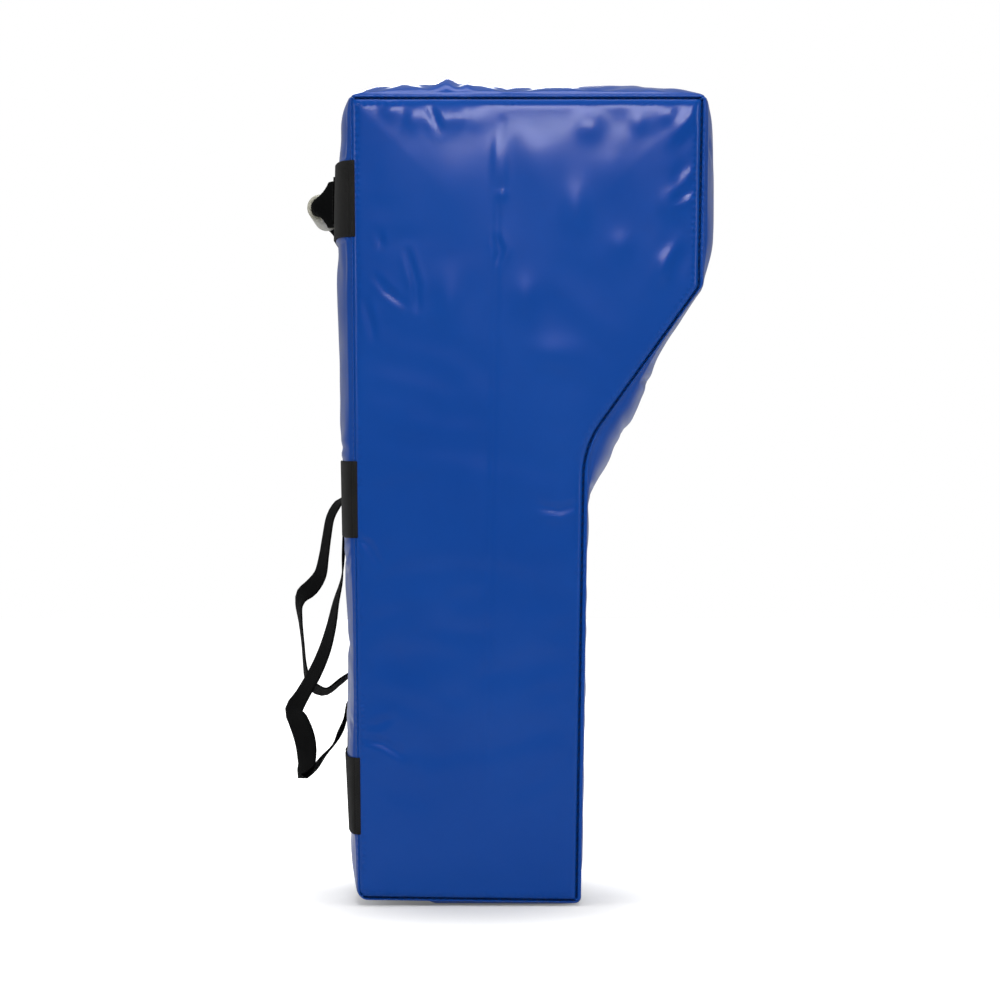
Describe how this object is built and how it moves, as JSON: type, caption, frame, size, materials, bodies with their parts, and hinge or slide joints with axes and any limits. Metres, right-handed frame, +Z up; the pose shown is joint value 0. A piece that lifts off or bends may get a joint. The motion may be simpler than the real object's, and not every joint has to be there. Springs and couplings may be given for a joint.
{
  "type": "tackle shield",
  "caption": "Wedge-shaped foam pad in a coated fabric cover, with webbing bands across the back, a tube grip and two limp arm loops.",
  "frame": {"origin": "middle of the rest face under the base: half-way across the width, and half-way between the base's front and back seams", "axes": "+Z up, -Y out of the strike face, +Y towards the person who holds the pad, +X to that person's left"},
  "size_m": [0.416, 0.4454, 0.8277],
  "materials": {
    "cover": "glossy coated fabric",
    "webbing": "woven, matt",
    "foam": "cellular, matt",
    "grip": "satin",
    "zip_nylon": "satin",
    "zip_metal": "satin"
  },
  "bodies": {
    "pad": {"back_foam_slab": "foam", "back_panel": "cover", "base_panel_front": "cover", "base_panel_rear": "cover", "bottom_band": "webbing", "front_foam_slab": "foam", "handle_end_left": "webbing", "handle_end_right": "webbing", "left_loop_lower_end": "webbing", "left_loop_upper_end": "webbing", "left_side_panel": "cover", "middle_band": "webbing", "right_loop_lower_end": "webbing", "right_loop_upper_end": "webbing", "right_side_panel": "cover", "strike_panel": "cover", "top_band": "webbing", "top_panel": "cover", "wedge_foam": "foam", "zip_coil_front": "zip_nylon", "zip_coil_rear": "zip_nylon", "zip_stop_left": "zip_metal", "zip_stop_right": "zip_metal", "zip_tape_front": "zip_nylon", "zip_tape_rear": "zip_nylon"},
    "carry_handle": {"handle_webbing": "webbing"},
    "grip": {"grip_tube": "grip"},
    "right_arm_loop": {"right_arm_loop": "webbing"},
    "left_arm_loop": {"left_arm_loop": "webbing"},
    "zip_slider": {"zip_slider": "zip_metal"},
    "zip_pull": {"zip_pull": "zip_metal"}
  },
  "joints": [
    {"name": "carry_handle_swing", "type": "hinge", "parent": "pad", "child": "carry_handle", "pos_m": [0, 0.13813, 0.712], "axis": [1, 0, 0], "range_deg": [-35, 35]},
    {"name": "grip_spin", "type": "hinge", "parent": "carry_handle", "child": "grip", "pos_m": [0, 0.15743, 0.712], "axis": [1, 0, 0], "continuous": true},
    {"name": "right_arm_loop_swing", "type": "hinge", "parent": "pad", "child": "right_arm_loop", "pos_m": [-0.09, 0.1479, 0.26], "axis": [0, 0, 1], "range_deg": [-40, 40]},
    {"name": "left_arm_loop_swing", "type": "hinge", "parent": "pad", "child": "left_arm_loop", "pos_m": [0.09, 0.1479, 0.26], "axis": [0, 0, 1], "range_deg": [-40, 40]},
    {"name": "zip_slider_slide", "type": "slide", "parent": "pad", "child": "zip_slider", "axis": [1, 0, 0], "range_m": [-0.304, 0.0055]},
    {"name": "zip_pull_swing", "type": "hinge", "parent": "zip_slider", "child": "zip_pull", "pos_m": [0.1492, 0.0655, 0.005], "axis": [0, -1, 0], "range_deg": [0, 180]}
  ]
}
